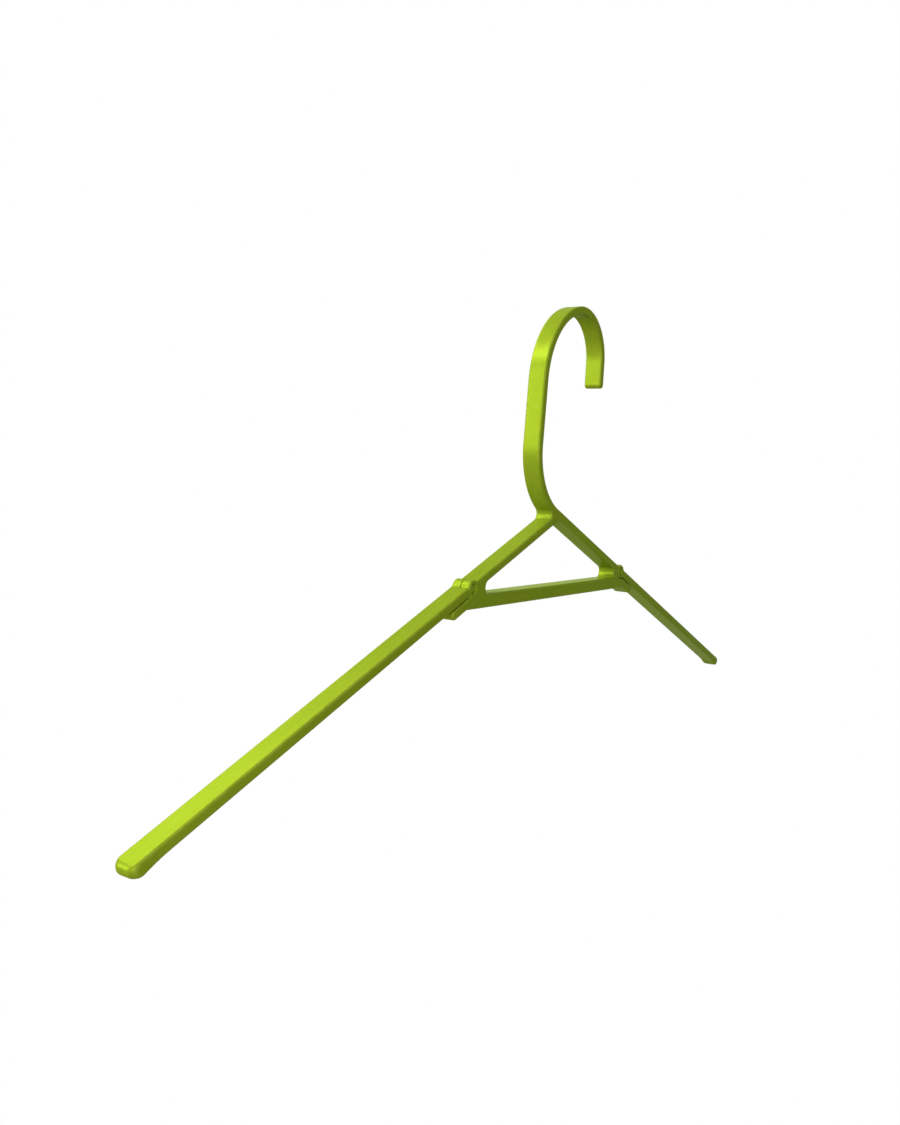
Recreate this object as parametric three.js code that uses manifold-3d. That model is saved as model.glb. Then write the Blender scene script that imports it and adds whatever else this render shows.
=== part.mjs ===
import * as THREE from 'three';
import { mergeVertices } from 'three/addons/utils/BufferGeometryUtils.js';
import Module from 'manifold-3d';

const wasm = await Module();
wasm.setup();

// Folding travel hanger, in millimetres with +Z up. +X runs along the arms and -Y is the front.
// Outlines are drawn as (x, z) in the hanger's plane, measured from the apex where the centre
// lines of the two shoulders meet. The finished part has its origin at the rod seat.

const RIGHT_ANGLE = Math.PI / 2;
const LEFT_TURN = 1;
const RIGHT_TURN = -1;

// Section shared by the frame and the arms: a flat bar with a small chamfer on each long edge.
const BAR_W = 7.7;
const EDGE_CUT = 0.5;
const FRAME_T = 3.2;
const ARM_T = 3.5;

// Shoulder line: apex, pivot and arm tip lie on one slope.
const SLOPE = THREE.MathUtils.degToRad(22.2);
const PIVOT_X = 63.2;
const TIP_X = 210;

// Hook and stem: the crown fits a closet rod and runs into a wider shoulder curve on the stem side.
const CROWN_X = 11.2;
const CROWN_Z = 64.4;
const CROWN_BORE_R = 17.15;
const CROWN_START = THREE.MathUtils.degToRad(11.5);
const HOOK_END_DROP = 9.0;
const HOOK_SHOULDER_R = 32.8;
const STEM_LEAN = THREE.MathUtils.degToRad(2.5);
const NECK_R = 27.1;
const NOTCH_R = 2.4;

// Crossbar and the opening above it.
const CROSSBAR_Z = -30.7;
const CROSSBAR_T = 5.1;
const APEX_FILLET_R = 1.8;
const CORNER_FILLET_R = 2.4;

// Half-lap hinge: a round cheek on the frame beside a round knuckle on the arm.
const KNUCKLE_R = 3.1;
const KNUCKLE_FILLET_R = 2.0;
const LAP_GAP = 0.3;
const ROOT_FILLET_R = 0.4;
const PIN_R = 1.5;
const PIN_GAP = 0.08;
const PIN_INSET = 0.4;
const PIN_CHAMFER = 0.3;
const PIN_DIMPLE_R = 0.8;
const PIN_DIMPLE_DEPTH = 0.35;
const HOLE_MOUTH = 0.6;

// Stop tab that the arm rests on.
const TAB_REACH = 15.0;
const TAB_T = 3.5;
const TAB_GAP = 0.3;
const TAB_END_R = 1.4;
const TAB_ROOT_R = 3.0;

// Nose of the arm: flush with the arm's top, deeper than the arm, and round towards both faces.
const NOSE_R = 2.1;
const NOSE_FILLET_R = 60.0;
const NOSE_SIDE_R = 2.4;

// Rounds this near to touching from inside, as a share, are taken as touching.
const TOUCH_SHARE = 1e-9;
const ARC_STEPS = 12;
const ROUND_STEPS = 48;
const CUT_MARGIN = 1.0;

const GREEN = 0x86a51e;
const PIN_GREEN = 0x7b9a1c;
const ROUGHNESS = 0.34;
const METALNESS = 0.45;

// Sizes that follow from the ones above.
const FRAME_HALF = FRAME_T / 2;
const ARM_HALF = ARM_T / 2;
const COS = Math.cos(SLOPE);
const SIN = Math.sin(SLOPE);
const PIVOT_S = PIVOT_X / COS;
const ARM_LENGTH = TIP_X / COS - PIVOT_S;
const CROWN_R = CROWN_BORE_R + FRAME_HALF;
const SEAT = { x: CROWN_X, z: CROWN_Z + CROWN_BORE_R };
const POCKET_R = KNUCKLE_R + LAP_GAP;
const HOLE_R = PIN_R + PIN_GAP;
const TAB_TOP = -ARM_HALF - TAB_GAP;
const TAB_BOTTOM = TAB_TOP - TAB_T;

// One round of an outline: a circle that the outline follows, turning left or right.
function round(x, z, r, turn) {
  return { x, z, r, turn };
}

// Round on the right shoulder, s along the arm from the apex and n square to it.
function onShoulder(s, n, r, turn) {
  return round(s * COS + n * SIN, n * COS - s * SIN, r, turn);
}

function mirrored(list) {
  return list.map((a) => round(-a.x, a.z, a.r, a.turn)).reverse();
}

// Closed outline that goes from round to round along their common tangents.
function trace(path, rounds) {
  const count = rounds.length;
  const headings = rounds.map((a, i) => {
    const b = rounds[(i + 1) % count];
    const shift = b.turn * b.r - a.turn * a.r;
    const span = Math.hypot(b.x - a.x, b.z - a.z);
    const slant = (shift / span) * (1 + TOUCH_SHARE);
    const swing = Math.asin(THREE.MathUtils.clamp(slant, -1, 1));
    return Math.atan2(b.z - a.z, b.x - a.x) - swing;
  });
  rounds.forEach((a, i) => {
    const side = -a.turn * RIGHT_ANGLE;
    const start = headings[(i + count - 1) % count] + side;
    path.absarc(a.x, a.z, a.r, start, headings[i] + side, a.turn === RIGHT_TURN);
  });
  path.closePath();
  return path;
}

// Bar of the common width with chamfered edges, standing in the XZ plane about y = 0.
function bar(shape) {
  const geometry = new THREE.ExtrudeGeometry(shape, {
    depth: BAR_W - 2 * EDGE_CUT,
    bevelThickness: EDGE_CUT,
    bevelSize: EDGE_CUT,
    bevelOffset: -EDGE_CUT,
    bevelSegments: 1,
    curveSegments: ARC_STEPS,
  });
  geometry.rotateX(RIGHT_ANGLE);
  geometry.translate(0, BAR_W / 2 - EDGE_CUT, 0);
  return solid(geometry);
}

function solid(geometry) {
  geometry.deleteAttribute('normal');
  geometry.deleteAttribute('uv');
  const merged = mergeVertices(geometry);
  return new wasm.Manifold(new wasm.Mesh({
    numProp: 3,
    vertProperties: merged.attributes.position.array,
    triVerts: new Uint32Array(merged.index.array),
  }));
}

function geometryOf(body) {
  const mesh = body.getMesh();
  const geometry = new THREE.BufferGeometry();
  geometry.setAttribute('position', new THREE.BufferAttribute(mesh.vertProperties, 3));
  geometry.setIndex(new THREE.BufferAttribute(mesh.triVerts, 1));
  const faceted = geometry.toNonIndexed();
  faceted.computeVertexNormals();
  return faceted;
}

// Turned body about the Y axis from (radius, y) points.
function turned(points) {
  const profile = points.map(([r, y]) => new THREE.Vector2(r, y));
  return new THREE.LatheGeometry(profile, ROUND_STEPS);
}

// Cylinder along Y that clears one half of the lap, on the side given by its sign.
function lapCut(side) {
  const length = BAR_W / 2 + LAP_GAP / 2 + CUT_MARGIN;
  const geometry = new THREE.CylinderGeometry(POCKET_R, POCKET_R, length, ROUND_STEPS);
  geometry.translate(0, side * (length / 2 - LAP_GAP / 2), 0);
  return solid(geometry);
}

// Pin hole right through the lap, with a countersink at both faces.
function pinCut() {
  const face = BAR_W / 2;
  const end = face + CUT_MARGIN;
  const wide = HOLE_R + HOLE_MOUTH + CUT_MARGIN;
  return solid(turned([
    [0, -end],
    [wide, -end],
    [HOLE_R, HOLE_MOUTH - face],
    [HOLE_R, face - HOLE_MOUTH],
    [wide, end],
    [0, end],
  ]));
}

// How far along the shoulder line from the pivot a fillet lies that touches the cheek or knuckle,
// when the fillet's centre is the given height above or below that line.
function filletReach(height, r) {
  return Math.sqrt((KNUCKLE_R + r) ** 2 - height ** 2);
}

// Centre of the hook's wider curve, which meets the crown smoothly where the crown starts.
function hookShoulderCentre() {
  const apart = HOOK_SHOULDER_R - CROWN_R;
  return { x: CROWN_X + apart * Math.sin(CROWN_START), z: CROWN_Z - apart * Math.cos(CROWN_START) };
}

// Centre of the neck curve, which runs from the leaning stem onto the right shoulder.
function neckCentre(hook) {
  const inset = HOOK_SHOULDER_R - NECK_R;
  const stemX = hook.x - inset * Math.cos(STEM_LEAN);
  const stemZ = hook.z + inset * Math.sin(STEM_LEAN);
  const height = NECK_R - (stemX * SIN + stemZ * COS);
  const run = height / Math.cos(SLOPE - STEM_LEAN);
  return { x: stemX + run * Math.sin(STEM_LEAN), z: stemZ + run * Math.cos(STEM_LEAN) };
}

// Fillet in the notch between the neck's outer curve and the left shoulder's top edge.
function notchRound(neck) {
  const reach = NECK_R + FRAME_HALF + NOTCH_R;
  const n = FRAME_HALF + NOTCH_R;
  const neckN = neck.x * -SIN + neck.z * COS;
  const neckS = -neck.x * COS - neck.z * SIN;
  const s = neckS + Math.sqrt(reach ** 2 - (neckN - n) ** 2);
  return round(-s * COS - n * SIN, n * COS - s * SIN, NOTCH_R, RIGHT_TURN);
}

// Right-hand hinge end of the frame, from the crossbar's lower edge to the shoulder's top edge.
function hingeEnd() {
  const tabEnd = PIVOT_S + TAB_REACH;
  const rootZ = CROSSBAR_Z - CROSSBAR_T / 2 - TAB_ROOT_R;
  const rootN = TAB_BOTTOM - TAB_ROOT_R;
  const tuckN = TAB_TOP + ROOT_FILLET_R;
  const tuckS = PIVOT_S + filletReach(tuckN, ROOT_FILLET_R);
  const riseN = FRAME_HALF + KNUCKLE_FILLET_R;
  const riseS = PIVOT_S - filletReach(riseN, KNUCKLE_FILLET_R);
  return [
    round((rootN - rootZ * COS) / SIN, rootZ, TAB_ROOT_R, RIGHT_TURN),
    onShoulder(tabEnd - TAB_END_R, TAB_BOTTOM + TAB_END_R, TAB_END_R, LEFT_TURN),
    onShoulder(tabEnd - TAB_END_R, TAB_TOP - TAB_END_R, TAB_END_R, LEFT_TURN),
    onShoulder(tuckS, tuckN, ROOT_FILLET_R, RIGHT_TURN),
    onShoulder(PIVOT_S, 0, KNUCKLE_R, LEFT_TURN),
    onShoulder(riseS, riseN, KNUCKLE_FILLET_R, RIGHT_TURN),
  ];
}

function frameShape() {
  const hook = hookShoulderCentre();
  const neck = neckCentre(hook);
  const right = hingeEnd();
  const shape = trace(new THREE.Shape(), [
    ...right,
    round(neck.x, neck.z, NECK_R - FRAME_HALF, RIGHT_TURN),
    round(hook.x, hook.z, HOOK_SHOULDER_R - FRAME_HALF, RIGHT_TURN),
    round(CROWN_X, CROWN_Z, CROWN_BORE_R, RIGHT_TURN),
    round(CROWN_X + CROWN_R, CROWN_Z - HOOK_END_DROP, FRAME_HALF, LEFT_TURN),
    round(CROWN_X, CROWN_Z, CROWN_BORE_R + FRAME_T, LEFT_TURN),
    round(hook.x, hook.z, HOOK_SHOULDER_R + FRAME_HALF, LEFT_TURN),
    round(neck.x, neck.z, NECK_R + FRAME_HALF, LEFT_TURN),
    notchRound(neck),
    ...mirrored(right),
  ]);
  const floorZ = CROSSBAR_Z + CROSSBAR_T / 2 + CORNER_FILLET_R;
  const cornerX = -(floorZ * COS + FRAME_HALF + CORNER_FILLET_R) / SIN;
  shape.holes.push(trace(new THREE.Path(), [
    round(-cornerX, floorZ, CORNER_FILLET_R, LEFT_TURN),
    round(cornerX, floorZ, CORNER_FILLET_R, LEFT_TURN),
    round(0, -(FRAME_HALF + APEX_FILLET_R) / COS, APEX_FILLET_R, LEFT_TURN),
  ]));
  return shape;
}

// Arm in its own frame: the pivot at the origin, x along the arm, the knuckle on the -Y half.
function armShape() {
  const tuckZ = -ARM_HALF - ROOT_FILLET_R;
  const riseZ = ARM_HALF + KNUCKLE_FILLET_R;
  const noseX = ARM_LENGTH - NOSE_R;
  const noseZ = ARM_HALF - NOSE_R;
  const swellZ = -ARM_HALF - NOSE_FILLET_R;
  const swellX = noseX - Math.sqrt((NOSE_R + NOSE_FILLET_R) ** 2 - (noseZ - swellZ) ** 2);
  return trace(new THREE.Shape(), [
    round(0, 0, KNUCKLE_R, LEFT_TURN),
    round(filletReach(tuckZ, ROOT_FILLET_R), tuckZ, ROOT_FILLET_R, RIGHT_TURN),
    round(swellX, swellZ, NOSE_FILLET_R, RIGHT_TURN),
    round(noseX, noseZ, NOSE_R, LEFT_TURN),
    round(filletReach(riseZ, KNUCKLE_FILLET_R), riseZ, KNUCKLE_FILLET_R, RIGHT_TURN),
  ]);
}

// Upright prism that clears the arm and rounds the corners of its nose, drawn as (x, y).
function armPlan() {
  const cornerX = ARM_LENGTH - NOSE_SIDE_R;
  const cornerY = BAR_W / 2 - NOSE_SIDE_R;
  const shape = trace(new THREE.Shape(), [
    round(cornerX, -cornerY, NOSE_SIDE_R, LEFT_TURN),
    round(cornerX, cornerY, NOSE_SIDE_R, LEFT_TURN),
    round(-BAR_W, BAR_W / 2, CUT_MARGIN, LEFT_TURN),
    round(-BAR_W, -BAR_W / 2, CUT_MARGIN, LEFT_TURN),
  ]);
  const depth = 2 * (KNUCKLE_R + NOSE_R + CUT_MARGIN);
  const settings = { depth, bevelEnabled: false, curveSegments: ARC_STEPS };
  const geometry = new THREE.ExtrudeGeometry(shape, settings);
  geometry.translate(0, 0, -depth / 2);
  return solid(geometry);
}

function pinGeometry() {
  const half = BAR_W / 2 - PIN_INSET;
  const floor = half - PIN_DIMPLE_DEPTH;
  return turned([
    [0, -floor],
    [PIN_DIMPLE_R, -half],
    [PIN_R - PIN_CHAMFER, -half],
    [PIN_R, PIN_CHAMFER - half],
    [PIN_R, half - PIN_CHAMFER],
    [PIN_R - PIN_CHAMFER, half],
    [PIN_DIMPLE_R, half],
    [0, floor],
  ]);
}

function named(name, geometry, color) {
  const material = new THREE.MeshStandardMaterial({
    color,
    roughness: ROUGHNESS,
    metalness: METALNESS,
  });
  const mesh = new THREE.Mesh(geometry, material);
  mesh.name = name;
  return mesh;
}

// Hinge cuts of the frame: the right pocket is on the -Y half and the left one on the +Y half.
const pivotZ = -PIVOT_X * Math.tan(SLOPE);
const frameBody = bar(frameShape())
  .subtract(lapCut(-1).translate([PIVOT_X, 0, pivotZ]))
  .subtract(lapCut(1).translate([-PIVOT_X, 0, pivotZ]))
  .subtract(pinCut().translate([PIVOT_X, 0, pivotZ]))
  .subtract(pinCut().translate([-PIVOT_X, 0, pivotZ]));
const armBody = bar(armShape())
  .intersect(armPlan())
  .subtract(lapCut(1))
  .subtract(pinCut());

const hanger = new THREE.Group();
hanger.name = 'folding_travel_hanger';
const apex = new THREE.Group();
apex.position.set(-SEAT.x, 0, -SEAT.z);
hanger.add(apex);
apex.add(named('hanger_frame', geometryOf(frameBody), GREEN));

// The two sides are alike, one turned half round about the apex's vertical.
for (const [side, turn] of [['right', 0], ['left', Math.PI]]) {
  const half = new THREE.Group();
  half.rotation.z = turn;
  const arm = named(`${side}_arm`, geometryOf(armBody), GREEN);
  arm.position.set(PIVOT_X, 0, pivotZ);
  arm.rotation.y = SLOPE;
  const pin = named(`${side}_hinge_pin`, pinGeometry(), PIN_GREEN);
  pin.position.set(PIVOT_X, 0, pivotZ);
  half.add(arm, pin);
  apex.add(half);
}

export default hanger;
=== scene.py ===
"""Folding travel hanger: the dressed model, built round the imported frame.

One moulded frame carries the hook, the stem, two short shoulders and a crossbar. Two long arms
fold up on half-lap hinges at the shoulders' ends, each on a pin, and rest on stop tabs.
Sizes are millimetres in the hanger's plane, measured from the apex where the centre lines of
the two shoulders meet. Meshes are put into the row frame in metres.
"""

import logging
import math
from dataclasses import dataclass, field
from enum import Enum
from typing import Optional, Sequence, Union

import bpy
import numpy as np
from mathutils import Matrix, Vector
from mathutils.geometry import tessellate_polygon


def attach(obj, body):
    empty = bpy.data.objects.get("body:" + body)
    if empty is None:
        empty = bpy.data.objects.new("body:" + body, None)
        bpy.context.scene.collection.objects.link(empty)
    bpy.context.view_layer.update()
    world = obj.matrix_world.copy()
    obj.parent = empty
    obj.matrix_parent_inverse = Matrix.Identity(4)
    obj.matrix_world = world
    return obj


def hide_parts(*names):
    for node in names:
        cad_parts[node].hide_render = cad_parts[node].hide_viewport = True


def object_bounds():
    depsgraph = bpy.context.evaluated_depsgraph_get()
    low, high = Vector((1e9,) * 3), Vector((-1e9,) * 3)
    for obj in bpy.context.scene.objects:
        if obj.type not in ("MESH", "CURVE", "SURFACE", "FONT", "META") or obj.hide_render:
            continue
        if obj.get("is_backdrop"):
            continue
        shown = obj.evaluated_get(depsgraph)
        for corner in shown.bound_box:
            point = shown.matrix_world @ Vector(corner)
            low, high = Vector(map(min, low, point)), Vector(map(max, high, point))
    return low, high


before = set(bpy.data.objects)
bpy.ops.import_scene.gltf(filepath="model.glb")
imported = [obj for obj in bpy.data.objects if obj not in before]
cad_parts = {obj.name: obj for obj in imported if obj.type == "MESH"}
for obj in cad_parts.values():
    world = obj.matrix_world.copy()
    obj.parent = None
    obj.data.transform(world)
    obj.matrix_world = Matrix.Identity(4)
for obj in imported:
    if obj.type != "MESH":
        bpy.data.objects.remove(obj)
CAD_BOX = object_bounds()

log = logging.getLogger("hanger")

Array = np.ndarray
Value = Union[float, Array]

Span = tuple[int, int]

METRES = 0.001
WELD = 1e-4
TOUCH_SHARE = 1e-9
TINY_SWEEP = 1e-6
TINY_RUN = 1e-5
ARC_STEP = 0.45
ARC_ANGLE = math.radians(7.5)
FULL_TURN = 2.0 * math.pi
QUARTER_TURN = math.pi / 2.0
UP_HINT = (0.0, 1.0, 0.2)
WHITE = (1.0, 1.0, 1.0)


class Turn(Enum):
    """The way an outline turns as it follows a round, with the material on its left."""

    LEFT = 1
    RIGHT = -1


class Lap(Enum):
    """What one half of a half-lap hinge has at the pivot."""

    ROUND = "round"
    POCKET = "pocket"


class Side(Enum):
    """The two sides of the hanger, seen from the front."""

    LEFT = -1
    RIGHT = 1


@dataclass(frozen=True)
class Round:
    """One round of an outline: a circle that the outline follows.

    Its centre and radius are numbers, or arrays with one value for each level of the bar.
    """

    x: Value
    z: Value
    r: Value
    turn: Turn = Turn.LEFT

    def mirrored(self) -> "Round":
        """Returns the same round on the other side of the apex."""
        return Round(-self.x, self.z, self.r, self.turn)


@dataclass(frozen=True)
class Loop:
    """A closed outline sampled at every level: points, headings and where each round starts."""

    points: Array
    headings: Array
    starts: tuple[int, ...]

    def span(self, first: int, last: int, level: int) -> Array:
        """Gives the samples of some neighbouring rounds at one level.

        Args:
            first: Index of the first round.
            last: Index of the last round, which is included.
            level: Index of the level, counted from the front.

        Returns:
            The samples in order, as an (n, 2) array.
        """
        ends = self.starts + (self.points.shape[1],)
        return self.points[level, ends[first] : ends[last + 1]]


def belt(rounds: Sequence[Round], levels: int) -> Loop:
    """Samples the closed outline that runs from round to round along their common tangents.

    The straight run from one circle to the next leaves along the angle of the line of centres,
    less the arc sine of the difference of their signed radii over their distance. Each arc runs
    from the heading of the run before it to the heading of the run after it, and the samples
    are spread evenly over its sweep. All the levels of a bar are worked out together.

    Args:
        rounds: The rounds in the order in which the outline meets them, material on the left.
        levels: How many levels the bar has.

    Returns:
        The sampled loop.
    """
    x, z, r = (
        np.stack([np.broadcast_to(np.asarray(value, float), (levels,)) for value in row], axis=1)
        for row in zip(*((a.x, a.z, a.r) for a in rounds))
    )
    turn = np.array([a.turn.value for a in rounds], float)
    dx = np.roll(x, -1, axis=1) - x
    dz = np.roll(z, -1, axis=1) - z
    gap = np.hypot(dx, dz)
    shift = np.roll(turn * r, -1, axis=1) - turn * r
    slant = np.clip(shift / gap * (1.0 + TOUCH_SHARE), -1.0, 1.0)
    leave = np.arctan2(dz, dx) - np.arcsin(slant)
    enter = np.roll(leave, 1, axis=1)
    sweep = np.mod(turn * (leave - enter), FULL_TURN)
    sweep = np.where(sweep > FULL_TURN - TINY_SWEEP, 0.0, sweep)
    run = gap * np.sqrt(np.maximum(1.0 - slant**2, 0.0))
    points, headings, starts, count = [], [], [], 0
    for i in range(len(rounds)):
        widest = float(sweep[:, i].max())
        arc = widest * float(r[:, i].max())
        steps = max(math.ceil(arc / ARC_STEP), math.ceil(widest / ARC_ANGLE), 1)
        share = np.linspace(0.0, 1.0, steps + 1) if arc > TINY_SWEEP else np.zeros(1)
        if run[:, i].max() < TINY_RUN:
            share = share[:-1]
        heading = enter[:, i, None] + turn[i] * sweep[:, i, None] * share
        radius = turn[i] * r[:, i, None]
        across = x[:, i, None] + radius * np.sin(heading)
        up = z[:, i, None] - radius * np.cos(heading)
        points.append(np.stack([across, up], axis=-1))
        headings.append(heading)
        starts.append(count)
        count += share.size
    return Loop(np.concatenate(points, axis=1), np.concatenate(headings, axis=1), tuple(starts))


@dataclass(frozen=True)
class Patch:
    """A piece of surface: points, faces on them, and each point's normal and edge mark."""

    points: Array
    faces: Array
    normals: Array
    edge: Array


def wall(loop: Loop, depths: Array, edge: Array, facing: Optional[float] = None) -> Patch:
    """Carries an outline through its levels.

    The surface is the outline's sample i at level k, at that level's depth. Its normal is the
    step from level to level crossed with the outline's own heading.

    Args:
        loop: The outline, sampled at each level.
        depths: The level's y, rising.
        edge: Edge mark of each level.
        facing: Sign of the flat face that the first or last level runs into, if there is one.

    Returns:
        The closed band of quads.
    """
    levels, count = loop.headings.shape
    grid = np.empty((levels, count, 3))
    grid[..., 0] = loop.points[..., 0]
    grid[..., 1] = depths[:, None]
    grid[..., 2] = loop.points[..., 1]
    along = np.stack(
        [np.cos(loop.headings), np.zeros_like(loop.headings), np.sin(loop.headings)], axis=-1
    )
    normals = np.cross(np.gradient(grid, axis=0), along)
    normals /= np.linalg.norm(normals, axis=-1, keepdims=True)
    if facing is not None:
        normals[0 if facing < 0 else -1] = (0.0, facing, 0.0)
    near = np.arange(levels - 1)[:, None] * count + np.arange(count)
    beside = np.roll(near, -1, axis=1)
    faces = np.stack([near, near + count, beside + count, beside], axis=-1).reshape(-1, 4)
    marks = np.repeat(edge, count)
    return Patch(grid.reshape(-1, 3), faces, normals.reshape(-1, 3), marks)


def plate(loops: Sequence[Array], depth: float, facing: float) -> Patch:
    """Fills a flat face between an outline and the holes in it.

    Args:
        loops: The outline and its holes as (n, 2) arrays of x and z.
        depth: The face's y.
        facing: Sign of the face's normal along y.

    Returns:
        The face as triangles.
    """
    flat = np.concatenate(loops)
    points = np.stack([flat[:, 0], np.full(len(flat), depth), flat[:, 1]], axis=-1)
    middle = flat.mean(axis=0)
    lines = [[(a, b, 0.0) for a, b in (loop - middle).tolist()] for loop in loops]
    faces = np.array(tessellate_polygon(lines), int)
    a, b, c = (flat[faces[:, i]] for i in range(3))
    area = (b[:, 0] - a[:, 0]) * (c[:, 1] - a[:, 1]) - (b[:, 1] - a[:, 1]) * (c[:, 0] - a[:, 0])
    faces = np.where((area * facing > 0.0)[:, None], faces[:, ::-1], faces)
    normals = np.tile((0.0, facing, 0.0), (len(flat), 1))
    return Patch(points, faces, normals, np.zeros(len(flat)))


def turned(
    centre: tuple[float, float], profile: Array, normals: Array, sides: int, edge: Array
) -> Patch:
    """Turns a profile about an axis along Y.

    A point is the centre, plus the profile's radius at the turn's angle, at the profile's y.

    Args:
        centre: The axis's x and z.
        profile: (radius, y) along the profile, with the material on its right.
        normals: (radial, y) part of the normal at each profile point.
        sides: How many steps the turn has.
        edge: Edge mark of each profile point.

    Returns:
        The turned band of quads.
    """
    angle = np.linspace(0.0, FULL_TURN, sides, endpoint=False)
    ray = np.stack([np.cos(angle), np.zeros(sides), np.sin(angle)], axis=-1)
    upright = np.array((0.0, 1.0, 0.0))
    grid = profile[:, None, 0, None] * ray + profile[:, None, 1, None] * upright
    grid = grid + np.array((centre[0], 0.0, centre[1]))
    lean = normals[:, None, 0, None] * ray + normals[:, None, 1, None] * upright
    near = np.arange(len(profile) - 1)[:, None] * sides + np.arange(sides)
    beside = np.roll(near, -1, axis=1)
    faces = np.stack([near, near + sides, beside + sides, beside], axis=-1).reshape(-1, 4)
    return Patch(grid.reshape(-1, 3), faces, lean.reshape(-1, 3), np.repeat(edge, sides))


@dataclass
class Shell:
    """A closed skin made of patches that are welded along their shared edges."""

    patches: list[Patch] = field(default_factory=list)

    def add(self, *patches: Patch) -> None:
        """Adds some patches to the skin."""
        self.patches.extend(patches)

    def mesh(self, name: str, place: Array) -> bpy.types.Mesh:
        """Welds the patches and puts them into a mesh with their own normals.

        Args:
            name: Name of the mesh.
            place: 4 by 4 matrix from the patches' millimetres to the row frame in metres.

        Returns:
            The mesh, with the edge marks as a point attribute.
        """
        points = np.concatenate([p.points for p in self.patches])
        normals = np.concatenate([p.normals for p in self.patches])
        edge = np.concatenate([p.edge for p in self.patches])
        offsets = np.cumsum([0] + [len(p.points) for p in self.patches[:-1]])
        _, first, index = np.unique(
            np.round(points / WELD).astype(np.int64), axis=0, return_index=True, return_inverse=True
        )
        index = index.reshape(-1)
        faces, corners = [], []
        for patch, offset in zip(self.patches, offsets):
            faces.extend(index[patch.faces + offset].tolist())
            corners.append((patch.faces + offset).reshape(-1))
        corner_normals = normals[np.concatenate(corners)] @ place[:3, :3].T
        corner_normals /= np.linalg.norm(corner_normals, axis=1, keepdims=True)
        marks = np.zeros(len(first))
        np.maximum.at(marks, index, edge)
        placed = points[first] @ place[:3, :3].T + place[:3, 3]
        mesh = bpy.data.meshes.new(name)
        mesh.from_pydata(placed.tolist(), [], faces)
        mesh.update()
        mesh.polygons.foreach_set("use_smooth", np.ones(len(faces), bool))
        worn = mesh.attributes.new("edge_mark", "FLOAT", "POINT")
        worn.data.foreach_set("value", marks.astype(np.float32))
        mesh.normals_split_custom_set(corner_normals.tolist())
        return mesh


@dataclass(frozen=True)
class BarSection:
    """Section of the moulded bar: flat sides with a soft round on each long edge."""

    width: float = 7.7
    soft: float = 0.85
    steps: int = 10
    rim: float = 0.22

    @property
    def face(self) -> float:
        """Distance of a flat face from the middle plane."""
        return self.width / 2.0

    def edge_levels(self) -> tuple[Array, Array, Array]:
        """Works out the edge's quarter round, from the flat face to the side.

        Returns:
            How far each level is drawn in, its depth below the face, and its edge mark.
        """
        turn = np.linspace(0.0, QUARTER_TURN, self.steps + 1)
        drawn, depth = self.soft * (1.0 - np.sin(turn)), self.soft * (1.0 - np.cos(turn))
        return drawn, depth, np.sin(2.0 * turn)

    def rim_swell(self, depth: Array) -> Array:
        """Widening of a pocket near the flat face, a quarter round of the rim's radius."""
        below = np.clip(self.rim - depth, 0.0, self.rim)
        return self.rim - np.sqrt(self.rim**2 - below**2)


@dataclass(frozen=True)
class Slab:
    """Levels of one layer of a bar: y, how far the outline is drawn in, and pocket widening."""

    depths: Array
    inset: Array
    swell: Array
    edge: Array

    @property
    def levels(self) -> int:
        """How many levels the layer has."""
        return len(self.depths)

    @classmethod
    def front(cls, section: BarSection, until: float, plain: int = 1) -> "Slab":
        """Layer from the front face to a given y.

        Args:
            section: The bar's section.
            until: The y that the layer ends at.
            plain: How many steps the flat side has after the edge's round.

        Returns:
            The layer's levels, from the front.
        """
        inset, depth, edge = section.edge_levels()
        rest = np.linspace(section.soft - section.face, until, plain + 1)[1:]
        flat = np.zeros(plain)
        return cls(
            np.append(depth - section.face, rest),
            np.append(inset, flat),
            np.append(section.rim_swell(depth), flat),
            np.append(edge, flat),
        )

    @classmethod
    def back(cls, section: BarSection, since: float, plain: int = 1) -> "Slab":
        """Layer from a given y to the back face, with the levels of a front layer turned round."""
        ahead = cls.front(section, -since, plain)
        return cls(-ahead.depths[::-1], ahead.inset[::-1], ahead.swell[::-1], ahead.edge[::-1])

    @classmethod
    def middle(cls, since: float, until: float) -> "Slab":
        """Plain layer between two values of y."""
        return cls(np.array((since, until)), np.zeros(2), np.zeros(2), np.zeros(2))


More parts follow.
